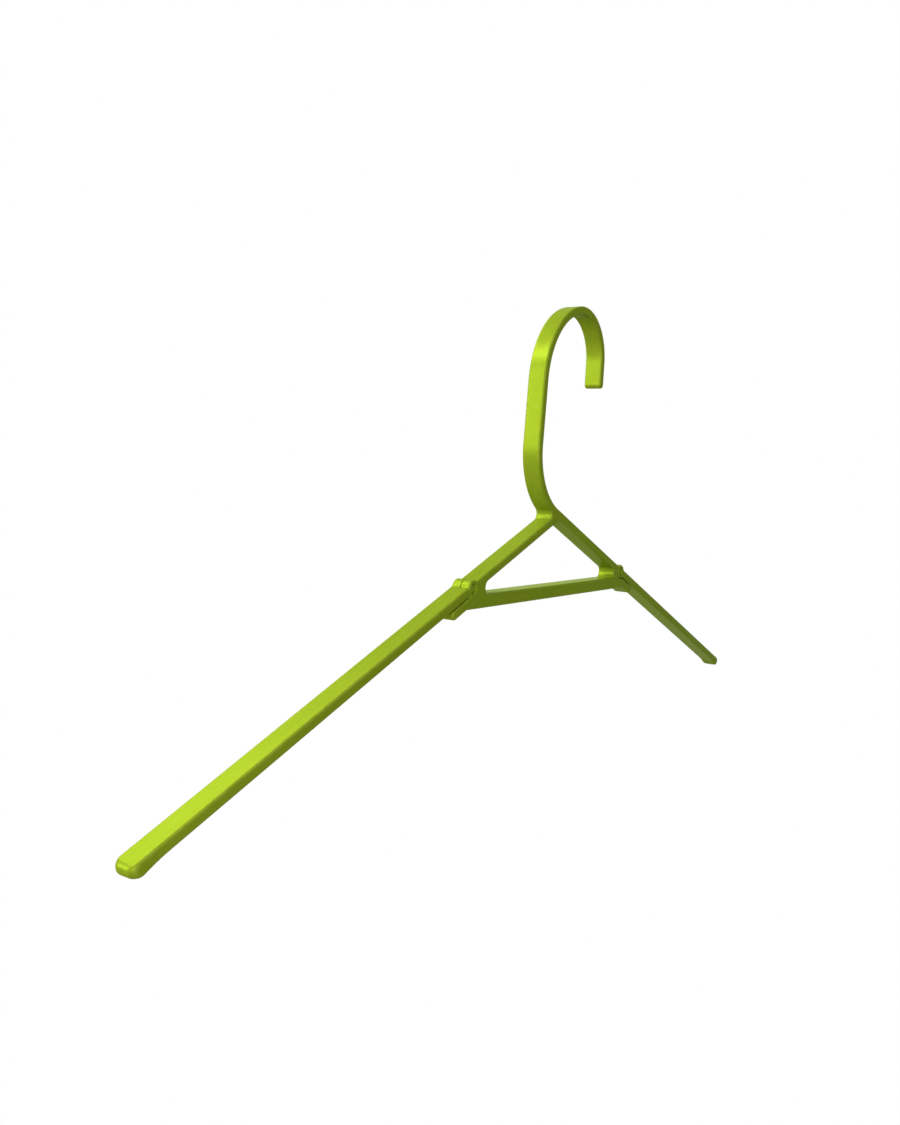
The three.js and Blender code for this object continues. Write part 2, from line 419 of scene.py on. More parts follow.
@dataclass(frozen=True)
class Hinge:
    """Half-lap hinge: a round cheek or knuckle, the pocket beside it, and the pin.

    The stop run is the least straight run between a pocket's soft corner and the end of its lap
    face. The bore's lead is a short ring below the cone, and the dish has a small flat middle.
    """

    round_r: float = 3.1
    gap: float = 0.3
    rise_r: float = 2.0
    tuck_r: float = 0.4
    corner_r: float = 0.2
    pin_r: float = 1.5
    pin_gap: float = 0.08
    pin_inset: float = 0.4
    pin_soft: float = 0.3
    dimple_r: float = 0.95
    dimple_depth: float = 0.35
    dish_middle: float = 0.08
    dish_wear: float = 0.6
    dish_steps: int = 8
    mouth: float = 0.5
    mouth_soft: float = 0.2
    mouth_wear: float = 0.8
    bore_lead: float = 0.03
    stop_run: float = 0.1
    soft_steps: int = 6
    sides: int = 64

    @property
    def pocket_r(self) -> float:
        """Radius of the pocket that clears a round."""
        return self.round_r + self.gap

    @property
    def hole_r(self) -> float:
        """Radius of the pin's hole."""
        return self.pin_r + self.pin_gap

    def fillet_reach(self, height: Value, r: float) -> Value:
        """Distance along the bar of a fillet that touches the round, from its centre's height."""
        return np.sqrt((self.round_r + r) ** 2 - np.square(height))

    def corner_reach(self, height: Value, swell: Value) -> Value:
        """Distance along the bar of a pocket's soft corner, from the corner centre's height."""
        return np.sqrt((self.pocket_r + swell + self.corner_r) ** 2 - np.square(height))

    def hole(
        self, centre: tuple[float, float], face: float, lap: float
    ) -> tuple[Patch, Array, Array]:
        """Makes the pin's hole through one half of the lap, with a countersunk mouth.

        The profile is a soft eighth round from the flat face into a cone of 45 degrees, then the
        cone, then the bore.

        Args:
            centre: The pivot's x and z.
            face: The flat face's y.
            lap: The lap face's y.

        Returns:
            The hole's wall, its ring in the flat face and its ring in the lap face.
        """
        way = math.copysign(1.0, lap - face)
        half = QUARTER_TURN / 2.0
        angle = np.linspace(0.0, half, self.soft_steps + 1)
        reach = self.mouth_soft * math.tan(half / 2.0)
        radius = self.hole_r + self.mouth + reach - self.mouth_soft * np.sin(angle)
        y = face + way * self.mouth_soft * (1.0 - np.cos(angle))
        turn = np.append(angle, (half, QUARTER_TURN, QUARTER_TURN))
        radius = np.append(radius, (self.hole_r, self.hole_r, self.hole_r))
        y = np.append(y, (face + way * self.mouth, face + way * (self.mouth + self.bore_lead), lap))
        profile = np.stack([radius, y], axis=-1)
        lean = np.stack([-np.sin(turn), -way * np.cos(turn)], axis=-1)
        edge = np.append(np.sin(4.0 * angle) * self.mouth_wear, (0.0, 0.0, 0.0))
        if way > 0.0:
            profile, lean, edge = profile[::-1], lean[::-1], edge[::-1]
        patch = turned(centre, profile, lean, self.sides, edge)
        rows = patch.points.reshape(-1, self.sides, 3)[:, :, [0, 2]]
        outer, inner = (rows[-1], rows[0]) if way > 0.0 else (rows[0], rows[-1])
        return patch, outer, inner


@dataclass(frozen=True)
class Plan:
    """Sizes of the hanger's outline, shared by the frame and the arms."""

    slope: float = math.radians(22.2)
    pivot_x: float = 63.2
    tip_x: float = 210.0
    frame_t: float = 3.2
    arm_t: float = 3.5
    crown_x: float = 11.2
    crown_z: float = 64.4
    crown_bore_r: float = 17.15
    crown_start: float = math.radians(11.5)
    hook_end_drop: float = 9.0
    hook_shoulder_r: float = 32.8
    stem_lean: float = math.radians(2.5)
    neck_r: float = 27.1
    notch_r: float = 2.4
    crossbar_z: float = -30.7
    crossbar_t: float = 5.1
    apex_fillet_r: float = 1.8
    corner_fillet_r: float = 2.4
    tab_reach: float = 15.0
    tab_t: float = 3.5
    tab_gap: float = 0.3
    tab_end_r: float = 1.4
    tab_root_r: float = 3.0
    nose_r: float = 2.1
    nose_fillet_r: float = 60.0
    nose_side_r: float = 2.4

    @property
    def cos(self) -> float:
        """Cosine of the shoulder's slope."""
        return math.cos(self.slope)

    @property
    def sin(self) -> float:
        """Sine of the shoulder's slope."""
        return math.sin(self.slope)

    @property
    def pivot_s(self) -> float:
        """Distance from the apex to a pivot along the shoulder."""
        return self.pivot_x / self.cos

    @property
    def arm_length(self) -> float:
        """Distance from a pivot to the arm's tip."""
        return self.tip_x / self.cos - self.pivot_s

    @property
    def seat(self) -> tuple[float, float]:
        """x and z of the rod seat under the crown, which is the row frame's origin."""
        return self.crown_x, self.crown_z + self.crown_bore_r

    def pivot(self, side: Side) -> tuple[float, float]:
        """x and z of one pivot."""
        return side.value * self.pivot_x, -self.pivot_x * math.tan(self.slope)

    def on_shoulder(self, s: Value, n: Value, r: Value, turn: Turn) -> Round:
        """Round on the right shoulder, s along it from the apex and n square to it."""
        return Round(s * self.cos + n * self.sin, n * self.cos - s * self.sin, r, turn)

    def place(self) -> Array:
        """Gives the place of the hanger's plane, with the rod seat at the origin.

        Returns:
            The 4 by 4 matrix from millimetres in the plane to the row frame in metres.
        """
        matrix = np.diag((METRES, METRES, METRES, 1.0))
        matrix[0, 3], matrix[2, 3] = -self.seat[0] * METRES, -self.seat[1] * METRES
        return matrix

    def arm_place(self, side: Side) -> Array:
        """Gives an arm's place at rest.

        The arm is turned down by the slope, moved to the pivot, and for the left side turned
        half round about the vertical.

        Args:
            side: The side that the arm is on.

        Returns:
            The 4 by 4 matrix from the arm's own frame to the row frame in metres.
        """
        tilt = np.eye(4)
        tilt[0, 0], tilt[0, 2], tilt[2, 0], tilt[2, 2] = self.cos, self.sin, -self.sin, self.cos
        tilt[0, 3], tilt[2, 3] = self.pivot(Side.RIGHT)
        half_round = np.diag((side.value, side.value, 1.0, 1.0)).astype(float)
        return self.place() @ half_round @ tilt


class Socket:
    """An output socket that takes part in Python expressions and adds the Math nodes for them."""

    def __init__(self, graph: "Graph", socket: bpy.types.NodeSocket) -> None:
        """Keeps the socket and the graph that it belongs to."""
        self.graph = graph
        self.socket = socket

    def _math(self, operation: str, *values: "Number") -> "Socket":
        """Adds one Math node with the given operation and inputs."""
        sockets = dict(enumerate(values))
        return self.graph.node("ShaderNodeMath", {"operation": operation}, sockets)["Value"]

    def __add__(self, other: "Number") -> "Socket":
        """Sum."""
        return self._math("ADD", self, other)

    def __sub__(self, other: "Number") -> "Socket":
        """Difference."""
        return self._math("SUBTRACT", self, other)

    def __rsub__(self, other: "Number") -> "Socket":
        """Difference with this socket taken away."""
        return self._math("SUBTRACT", other, self)

    def __mul__(self, other: "Number") -> "Socket":
        """Product."""
        return self._math("MULTIPLY", self, other)

    def __truediv__(self, other: "Number") -> "Socket":
        """Quotient."""
        return self._math("DIVIDE", self, other)

    def __pow__(self, other: "Number") -> "Socket":
        """Power."""
        return self._math("POWER", self, other)

    def __abs__(self) -> "Socket":
        """Absolute value."""
        return self._math("ABSOLUTE", self)

    def larger(self, other: "Number") -> "Socket":
        """The larger of two values."""
        return self._math("MAXIMUM", self, other)

    def clamped(self) -> "Socket":
        """The value held between 0 and 1."""
        return self.ramp(0.0, 1.0, smooth=False)

    def ramp(self, low: float, high: float, smooth: bool = True) -> "Socket":
        """Runs from 0 at one value to 1 at another, and stays there beyond them.

        Args:
            low: The value that gives 0.
            high: The value that gives 1.
            smooth: Whether the run eases in and out.

        Returns:
            The ramped value.
        """
        kind = "SMOOTHSTEP" if smooth else "LINEAR"
        sockets = {"Value": self, "From Min": low, "From Max": high}
        return self.graph.node("ShaderNodeMapRange", {"interpolation_type": kind}, sockets)["Result"]

    __radd__ = __add__
    __rmul__ = __mul__


Number = Union[float, Socket]
Colour = tuple[float, float, float]
Paint = Union[Colour, Socket]


@dataclass
class Graph:
    """A node tree with one method that makes its nodes."""

    tree: bpy.types.NodeTree

    @classmethod
    def of(cls, owner: Union[bpy.types.Material, bpy.types.World]) -> "Graph":
        """Empties the owner's node tree and wraps it.

        Args:
            owner: The material or the world.

        Returns:
            The graph of the empty tree.
        """
        owner.use_nodes = True
        owner.node_tree.nodes.clear()
        return cls(owner.node_tree)

    def node(self, kind: str, settings: dict, sockets: dict) -> "Outputs":
        """Makes one node.

        Args:
            kind: The node's type.
            settings: Properties of the node, which are set first.
            sockets: Values or links of its inputs, by name or place.

        Returns:
            The node's outputs by name.
        """
        made = self.tree.nodes.new(kind)
        for name, value in settings.items():
            setattr(made, name, value)
        for key, value in sockets.items():
            socket = made.inputs[key]
            if isinstance(value, Socket):
                self.tree.links.new(value.socket, socket)
            elif isinstance(value, tuple) and len(value) == 3 and len(socket.default_value) == 4:
                socket.default_value = (*value, 1.0)
            else:
                socket.default_value = value
        return Outputs(self, made)

    def mix(self, share: Number, one: Paint, other: Paint) -> Socket:
        """Mixes two colours, from the first at share 0 to the second at share 1."""
        settings = {"data_type": "RGBA"}
        return self.node("ShaderNodeMix", settings, {0: share, 6: one, 7: other})[2]

    def noise(self, where: Socket, scale: float, detail: float = 2.0, rough: float = 0.5) -> Socket:
        """Noise between 0 and 1 at a scale in cells per metre."""
        sockets = {"Vector": where, "Scale": scale, "Detail": detail, "Roughness": rough}
        return self.node("ShaderNodeTexNoise", {}, sockets)["Fac"]

    def stretched(self, where: Socket, turn: float, scale: Colour) -> Socket:
        """Turns coordinates about Y and then stretches them along each axis.

        Args:
            where: The coordinates.
            turn: The turn in radians.
            scale: The factor along each axis.

        Returns:
            The new coordinates.
        """
        kind, settings = "ShaderNodeMapping", {"vector_type": "POINT"}
        steady = self.node(kind, settings, {"Vector": where, "Rotation": (0.0, turn, 0.0)})["Vector"]
        return self.node(kind, settings, {"Vector": steady, "Scale": scale})["Vector"]


@dataclass
class Outputs:
    """The outputs of a node, by name or place."""

    graph: Graph
    made: bpy.types.Node

    def __getitem__(self, key: Union[str, int]) -> Socket:
        """One output as a socket for expressions."""
        return Socket(self.graph, self.made.outputs[key])


@dataclass(frozen=True)
class SilkPlastic:
    """Moulded plastic with fine metal flake, in a silky lime green.

    The flake is a cell pattern of about a fifth of a millimetre that shades the colour. Long
    streaks along the bar come from the melt's flow, and the edges are a little paler and rougher
    from use.
    """

    name: str
    base: Colour = (0.252, 0.341, 0.017)
    deep: Colour = (0.221, 0.307, 0.012)
    worn: Colour = (0.333, 0.428, 0.050)
    tint: Colour = (0.80, 1.0, 0.15)
    specular: float = 0.01
    metallic: float = 0.2
    roughness: float = 0.34
    flake_scale: float = 4800.0
    flake_share: float = 0.08
    flow_scale: Colour = (22.0, 420.0, 420.0)
    flow_turn: float = 0.0
    cloud_scale: float = 38.0
    grain_scale: float = 2600.0
    rub_scale: float = 240.0
    rub_share: float = 0.45
    seam: float = 0.4
    seam_half: float = 0.00011
    bump: float = 0.30
    bump_height: float = 0.00003

    def material(self) -> bpy.types.Material:
        """Makes the finish as nodes on Object coordinates.

        Lengths are metres and scales are cells per metre. Tone runs from the deep colour to the
        base one, flake and rubbed edges lighten it, and the seam is a low ridge at y = 0.

        Returns:
            The material.
        """
        material = bpy.data.materials.new(self.name)
        graph = Graph.of(material)
        where = graph.node("ShaderNodeTexCoord", {}, {})["Object"]
        depth = graph.node("ShaderNodeSeparateXYZ", {}, {"Vector": where})["Y"]
        cells = graph.node("ShaderNodeTexVoronoi", {}, {"Vector": where, "Scale": self.flake_scale})
        flake = graph.node("ShaderNodeSeparateColor", {}, {"Color": cells["Color"]})["Red"]
        flow = graph.noise(graph.stretched(where, self.flow_turn, self.flow_scale), 1.0, 3.0)
        cloud = graph.noise(where, self.cloud_scale, 3.0)
        grain = graph.noise(where, self.grain_scale, 2.0)
        marks = {"attribute_name": "edge_mark", "attribute_type": "GEOMETRY"}
        edge = graph.node("ShaderNodeAttribute", marks, {})["Fac"]
        rub = (edge * graph.noise(where, self.rub_scale, 4.0, 0.65).ramp(0.34, 0.68)).clamped()
        tone = (flow * 0.55 + cloud * 0.45).ramp(0.30, 0.70)
        body = graph.mix(tone, self.deep, self.base)
        sparkle = graph.mix(flake.ramp(0.55, 1.0) * self.flake_share, body, self.worn)
        colour = graph.mix(rub * self.rub_share, sparkle, self.worn)
        line = 1.0 - (abs(depth) / self.seam_half).ramp(0.0, 1.0)
        height = grain * 0.03 + cloud * 1.2 + line * self.seam - rub * 0.10
        relief = {"Strength": self.bump, "Distance": self.bump_height, "Height": height}
        normal = graph.node("ShaderNodeBump", {}, relief)["Normal"]
        rough = (self.roughness - 0.04) + grain * 0.05 + tone * 0.03 + rub * 0.08
        sockets = {
            "Base Color": colour,
            "Metallic": self.metallic,
            "Roughness": rough,
            "Specular IOR Level": self.specular,
            "Specular Tint": self.tint,
            "Normal": normal,
        }
        shader = graph.node("ShaderNodeBsdfPrincipled", {}, sockets)["BSDF"]
        graph.node("ShaderNodeOutputMaterial", {}, {"Surface": shader})
        return material


def piece(
    mesh: bpy.types.Mesh, material: bpy.types.Material, body: str, node: str
) -> None:
    """Puts a finished mesh into the scene in place of a CAD node.

    Args:
        mesh: The mesh, in the row frame.
        material: Its finish.
        body: The body that it moves with.
        node: The CAD node that it stands for.
    """
    mesh.materials.append(material)
    made = bpy.data.objects.new(mesh.name, mesh)
    bpy.context.scene.collection.objects.link(made)
    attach(made, body)
    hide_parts(node)
    log.info("%s: %d faces on %s", made.name, len(mesh.polygons), body)


@dataclass(frozen=True)
class HangerFrame:
    """The moulded frame: hook, stem, shoulders, crossbar, hinge cheeks and stop tabs."""

    plan: Plan
    section: BarSection
    hinge: Hinge

    def hinge_end(self, slab: Slab, lap: Lap) -> list[Round]:
        """Right-hand hinge end, from the crossbar's lower edge to the shoulder's top edge.

        Args:
            slab: The layer whose levels are wanted.
            lap: Whether this half of the lap has the cheek or the pocket.

        Returns:
            The rounds in order. A pocket has the same start and end points as a cheek.
        """
        plan, hinge, draw = self.plan, self.hinge, slab.inset
        half = plan.frame_t / 2.0
        top = -plan.arm_t / 2.0 - plan.tab_gap
        bottom = top - plan.tab_t
        tab_s = plan.pivot_s + plan.tab_reach - plan.tab_end_r
        root_z = plan.crossbar_z - plan.crossbar_t / 2.0 - plan.tab_root_r
        root_x = (bottom - plan.tab_root_r - root_z * plan.cos) / plan.sin
        end_r = plan.tab_end_r - draw
        tuck_n = top + hinge.tuck_r
        tuck_s = hinge.fillet_reach(tuck_n, hinge.tuck_r)
        rise_n = half + hinge.rise_r
        rise_s = hinge.fillet_reach(rise_n, hinge.rise_r)
        tab = [
            Round(root_x, root_z, plan.tab_root_r + draw, Turn.RIGHT),
            plan.on_shoulder(tab_s, bottom + plan.tab_end_r, end_r, Turn.LEFT),
            plan.on_shoulder(tab_s, top - plan.tab_end_r, end_r, Turn.LEFT),
        ]
        if lap is Lap.ROUND:
            return tab + [
                plan.on_shoulder(plan.pivot_s + tuck_s, tuck_n, hinge.tuck_r + draw, Turn.RIGHT),
                plan.on_shoulder(plan.pivot_s, 0.0, hinge.round_r - draw, Turn.LEFT),
                plan.on_shoulder(plan.pivot_s - rise_s, rise_n, hinge.rise_r + draw, Turn.RIGHT),
            ]
        low_n = top - draw - hinge.corner_r
        high_n = half - draw - hinge.corner_r
        low_s = hinge.corner_reach(low_n, slab.swell)
        high_s = hinge.corner_reach(high_n, slab.swell)
        low_stop = np.maximum(tuck_s, low_s + hinge.stop_run)
        high_stop = np.maximum(rise_s, high_s + hinge.stop_run)
        pocket_r = hinge.pocket_r + slab.swell
        return tab + [
            plan.on_shoulder(plan.pivot_s + low_stop, top - draw, 0.0, Turn.LEFT),
            plan.on_shoulder(plan.pivot_s + low_s, low_n, hinge.corner_r, Turn.LEFT),
            plan.on_shoulder(plan.pivot_s, 0.0, pocket_r, Turn.RIGHT),
            plan.on_shoulder(plan.pivot_s - high_s, high_n, hinge.corner_r, Turn.LEFT),
            plan.on_shoulder(plan.pivot_s - high_stop, half - draw, 0.0, Turn.LEFT),
        ]

    def hook(self, draw: Array) -> list[Round]:
        """Neck, stem, hook and notch, from the right shoulder's top edge to the left one's.

        The crown's circle touches the wider shoulder curve from inside where the crown starts.
        The neck's circle touches the leaning stem and the right shoulder, and the notch's small
        circle touches the neck's outer curve and the left shoulder's top edge.

        Args:
            draw: How far the outline is drawn in at each level.

        Returns:
            The rounds in order.
        """
        plan = self.plan
        half = plan.frame_t / 2.0
        crown_r = plan.crown_bore_r + half
        apart = plan.hook_shoulder_r - crown_r
        wide_x = plan.crown_x + apart * math.sin(plan.crown_start)
        wide_z = plan.crown_z - apart * math.cos(plan.crown_start)
        lean_s, lean_c = math.sin(plan.stem_lean), math.cos(plan.stem_lean)
        closer = plan.hook_shoulder_r - plan.neck_r
        stem_x, stem_z = wide_x - closer * lean_c, wide_z + closer * lean_s
        height = plan.neck_r - (stem_x * plan.sin + stem_z * plan.cos)
        run = height / math.cos(plan.slope - plan.stem_lean)
        neck_x, neck_z = stem_x + run * lean_s, stem_z + run * lean_c
        notch_n = half + plan.notch_r
        neck_n = -neck_x * plan.sin + neck_z * plan.cos
        reach = plan.neck_r + half + plan.notch_r
        aside = math.sqrt(reach**2 - (neck_n - notch_n) ** 2)
        notch_s = -neck_x * plan.cos - neck_z * plan.sin + aside
        nose_x, nose_z = plan.crown_x + crown_r, plan.crown_z - plan.hook_end_drop
        return [
            Round(neck_x, neck_z, plan.neck_r - half + draw, Turn.RIGHT),
            Round(wide_x, wide_z, plan.hook_shoulder_r - half + draw, Turn.RIGHT),
            Round(plan.crown_x, plan.crown_z, plan.crown_bore_r + draw, Turn.RIGHT),
            Round(nose_x, nose_z, half - draw, Turn.LEFT),
            Round(plan.crown_x, plan.crown_z, crown_r + half - draw, Turn.LEFT),
            Round(wide_x, wide_z, plan.hook_shoulder_r + half - draw, Turn.LEFT),
            Round(neck_x, neck_z, plan.neck_r + half - draw, Turn.LEFT),
            plan.on_shoulder(notch_s, notch_n, plan.notch_r + draw, Turn.RIGHT).mirrored(),
        ]

    def opening(self, slab: Slab) -> Loop:
        """Three-cornered opening above the crossbar, with the material on its left.

        Args:
            slab: The layer.

        Returns:
            The loop.
        """
        plan = self.plan
        half = plan.frame_t / 2.0
        floor_z = plan.crossbar_z + plan.crossbar_t / 2.0 + plan.corner_fillet_r
        corner_x = -(floor_z * plan.cos + half + plan.corner_fillet_r) / plan.sin
        apex_z = -(half + plan.apex_fillet_r) / plan.cos
        corner_r = plan.corner_fillet_r + slab.inset
        rounds = [
            Round(corner_x, floor_z, corner_r, Turn.RIGHT),
            Round(-corner_x, floor_z, corner_r, Turn.RIGHT),
            Round(0.0, apex_z, plan.apex_fillet_r + slab.inset, Turn.RIGHT),
        ]
        return belt(rounds, slab.levels)

    def outline(self, slab: Slab, left: Lap, right: Lap) -> tuple[Loop, Span, Span]:
        """Outer outline of one layer.

        Args:
            slab: The layer.
            left: What the left hinge end has in this layer.
            right: What the right hinge end has in this layer.

        Returns:
            The loop, and the first and last lap round of the left end and of the right end.
        """
        near = self.hinge_end(slab, right)
        hook = self.hook(slab.inset)
        far = [a.mirrored() for a in reversed(self.hinge_end(slab, left))]
        begin = len(near) + len(hook)
        left_lap = (begin, begin + len(far) - 4)
        return belt(near + hook + far, slab.levels), left_lap, (3, len(near) - 1)

    def build(self) -> bpy.types.Mesh:
        """Builds the frame from three layers that meet at the two lap faces.

        The front layer has the left cheek and the right pocket, the thin middle one has both
        pockets, and the back layer has the left pocket and the right cheek.

        Returns:
            The frame's mesh in the row frame.
        """
        lap, face = self.hinge.gap / 2.0, self.section.face
        front = Slab.front(self.section, -lap)
        middle = Slab.middle(-lap, lap)
        back = Slab.back(self.section, lap)
        ahead, ahead_left, _ = self.outline(front, Lap.ROUND, Lap.POCKET)
        core, core_left, core_right = self.outline(middle, Lap.POCKET, Lap.POCKET)
        behind, _, behind_right = self.outline(back, Lap.POCKET, Lap.ROUND)
        slabs, loops, facings = (front, middle, back), (ahead, core, behind), (-1.0, None, 1.0)
        gaps = [self.opening(slab) for slab in slabs]
        left_hole, left_mouth, left_ring = self.hinge.hole(self.plan.pivot(Side.LEFT), -face, -lap)
        right_hole, right_mouth, right_ring = self.hinge.hole(self.plan.pivot(Side.RIGHT), face, lap)
        cheek_left = ahead.span(*ahead_left, -1)
        pocket_left = core.span(*core_left, 0)[1:-1]
        cheek_right = behind.span(*behind_right, 0)
        pocket_right = core.span(*core_right, -1)[1:-1]
        shell = Shell()
        for slab, facing, *pair in zip(slabs, facings, loops, gaps):
            shell.add(*(wall(loop, slab.depths, slab.edge, facing) for loop in pair))
        shell.add(left_hole, right_hole)
        shell.add(plate([ahead.points[0], gaps[0].points[0], left_mouth], -face, -1.0))
        shell.add(plate([behind.points[-1], gaps[2].points[-1], right_mouth], face, 1.0))
        shell.add(plate([np.concatenate([cheek_left, pocket_left[::-1]]), left_ring], -lap, 1.0))
        shell.add(plate([np.concatenate([cheek_right, pocket_right[::-1]]), right_ring], lap, -1.0))
        return shell.mesh("moulded_frame", self.plan.place())

    def dress(self) -> None:
        """Builds the frame and gives it its finish."""
        finish = SilkPlastic("frame_silk_green")
        piece(self.build(), finish.material(), "frame", "hanger_frame")


@dataclass(frozen=True)
class FoldingArm:
    """One long arm: a round knuckle on one half of its width, a hollow beside it, a round nose."""

    plan: Plan
    section: BarSection
    hinge: Hinge
    side: Side
    plain: int = 7

    def nose_back(self, slab: Slab) -> Array:
        """Works out how far the nose stands back: a round in plan, less the edge's own draw.

        Args:
            slab: The layer.

        Returns:
            The distance at each level.
        """
        side_r = self.plan.nose_side_r
        out = np.clip(np.abs(slab.depths) - (self.section.face - side_r), 0.0, side_r)
        return np.maximum(side_r - np.sqrt(side_r**2 - out**2) - slab.inset, 0.0)

    def outline(self, slab: Slab, lap: Lap) -> Loop:
        """Outline of one layer in the arm's own frame, the pivot at the origin and x along the arm.

        Args:
            slab: The layer.
            lap: Whether this half of the width has the knuckle or the hollow for the cheek.

        Returns:
            The loop. Its lap rounds come first, and the long edges and the nose after them.
        """
        plan, hinge, draw = self.plan, self.hinge, slab.inset
        half = plan.arm_t / 2.0
        tuck_z, rise_z = -half - hinge.tuck_r, half + hinge.rise_r
        rise_x = hinge.fillet_reach(rise_z, hinge.rise_r)
        nose_x, nose_z = plan.arm_length - plan.nose_r - self.nose_back(slab), half - plan.nose_r
        swell_z = -half - plan.nose_fillet_r
        reach = plan.nose_r + plan.nose_fillet_r
        swell_x = nose_x - math.sqrt(reach**2 - (nose_z - swell_z) ** 2)
        nose = [
            Round(swell_x, swell_z, plan.nose_fillet_r + draw, Turn.RIGHT),
            Round(nose_x, nose_z, plan.nose_r - draw, Turn.LEFT),
        ]
        corner_z = half - draw - hinge.corner_r
        corner_x = hinge.corner_reach(corner_z, slab.swell)
        if lap is Lap.ROUND:
            stop_x = hinge.corner_reach(half - hinge.corner_r, 0.0)
            tuck_x = hinge.fillet_reach(tuck_z, hinge.tuck_r)
            rounds = [
                Round(rise_x, rise_z, hinge.rise_r + draw, Turn.RIGHT),
                Round(0.0, 0.0, hinge.round_r - draw, Turn.LEFT),
                Round(tuck_x, tuck_z, hinge.tuck_r + draw, Turn.RIGHT),
                Round(stop_x, -half + draw, 0.0, Turn.LEFT),
                *nose,
            ]
        else:
            stop_x = np.maximum(rise_x, corner_x + hinge.stop_run)
            rounds = [
                Round(stop_x, half - draw, 0.0, Turn.LEFT),
                Round(corner_x, corner_z, hinge.corner_r, Turn.LEFT),
                Round(0.0, 0.0, hinge.pocket_r + slab.swell, Turn.RIGHT),
                Round(corner_x, -corner_z, hinge.corner_r, Turn.LEFT),
                *nose,
            ]
        return belt(rounds, slab.levels)

    def build(self) -> bpy.types.Mesh:
        """Builds the arm from two layers that meet at the lap face, the knuckle in the first.

        Returns:
            The arm's mesh in the row frame.
        """
        lap, face = self.hinge.gap / 2.0, self.section.face
        front = Slab.front(self.section, -lap, self.plain)
        back = Slab.back(self.section, -lap, self.plain)
        ahead, behind = self.outline(front, Lap.ROUND), self.outline(back, Lap.POCKET)
        hole, mouth, ring = self.hinge.hole((0.0, 0.0), -face, -lap)
        knuckle, hollow = ahead.span(0, 3, -1), behind.span(0, 3, 0)[1:-1]
        shell = Shell()
        shell.add(wall(ahead, front.depths, front.edge, -1.0))
        shell.add(wall(behind, back.depths, back.edge, 1.0))
        shell.add(hole, plate([ahead.points[0], mouth], -face, -1.0))
        shell.add(plate([behind.points[-1]], face, 1.0))
        shell.add(plate([np.concatenate([knuckle, hollow[::-1]]), ring], -lap, 1.0))
        return shell.mesh(f"{self.side.name.lower()}_folding_arm", self.plan.arm_place(self.side))

    def dress(self) -> None:
        """Builds the arm and gives it its finish, with the flow streaks along the arm."""
        label = self.side.name.lower()
        finish = SilkPlastic(f"{label}_arm_silk_green", flow_turn=-self.side.value * self.plan.slope)
        piece(self.build(), finish.material(), f"{label}_arm", f"{label}_arm")


@dataclass(frozen=True)
class HingePin:
    """A turned pin with soft rims and a dished end, a little below the faces."""

    plan: Plan
    section: BarSection
    hinge: Hinge
    side: Side

    def build(self) -> bpy.types.Mesh:
        """Builds the pin as a profile turned about its axis.

        From the middle of an end the profile is a shallow dish, a flat ring, a quarter round
        and half of the shank, and the other half mirrors it.

        Returns:
            The pin's mesh in the row frame.
        """
        hinge = self.hinge
        end = self.section.face - hinge.pin_inset
        dish = np.linspace(0.0, 1.0, hinge.dish_steps + 1)
        corner = np.linspace(0.0, QUARTER_TURN, hinge.soft_steps + 1)
        dish_r = np.maximum(dish * hinge.dimple_r, hinge.dish_middle)
        radius = np.append(dish_r, hinge.pin_r - hinge.pin_soft * (1.0 - np.sin(corner)))
        dish_y = -end + hinge.dimple_depth * (1.0 - dish**2) ** 2
        y = np.append(dish_y, -end + hinge.pin_soft * (1.0 - np.cos(corner)))
        edge = np.append(dish**6 * hinge.dish_wear, np.sin(2.0 * corner))
        near = np.stack([radius, y], axis=-1)
        profile = np.concatenate([near, (near * (1.0, -1.0))[::-1]])
        step = np.gradient(profile, axis=0)
        lean = np.stack([step[:, 1], -step[:, 0]], axis=-1)
        lean /= np.linalg.norm(lean, axis=1, keepdims=True)
        edge = np.append(edge, edge[::-1])
        centre = self.plan.pivot(self.side)
        skin = turned(centre, profile, lean, hinge.sides, edge)
        rows = skin.points.reshape(-1, hinge.sides, 3)[:, :, [0, 2]]
        shell = Shell([skin])
        shell.add(plate([rows[0]], float(profile[0, 1]), -1.0))
        shell.add(plate([rows[-1]], float(profile[-1, 1]), 1.0))
        return shell.mesh(f"{self.side.name.lower()}_pin", self.plan.place())

    def dress(self) -> None:
        """Builds the pin and gives it its finish."""
        label = self.side.name.lower()
        finish = SilkPlastic(f"{label}_pin_silk_green", seam=0.0)
        piece(self.build(), finish.material(), "frame", f"{label}_hinge_pin")


@dataclass(frozen=True)
class SoftBox:
    """A soft square lamp that points at the hanger."""

    name: str
    direction: Colour
    distance: float
    size: float
    power: float
    target: Colour = (-0.02, 0.0, -0.09)

    def build(self) -> None:
        """Makes the lamp and turns it to its target."""
        way = np.array(self.direction) / np.linalg.norm(self.direction)
        light = bpy.data.lights.new(self.name, "AREA")
        light.energy, light.size = self.power, self.size
        lamp = bpy.data.objects.new(self.name, light)
        lamp.location = np.array(self.target) + way * self.distance
        across = np.cross(UP_HINT, way)
        across /= np.linalg.norm(across)
        turn = np.stack([across, np.cross(way, across), way], axis=1)
        lamp.rotation_euler = Matrix(turn.tolist()).to_euler()
        bpy.context.scene.collection.objects.link(lamp)


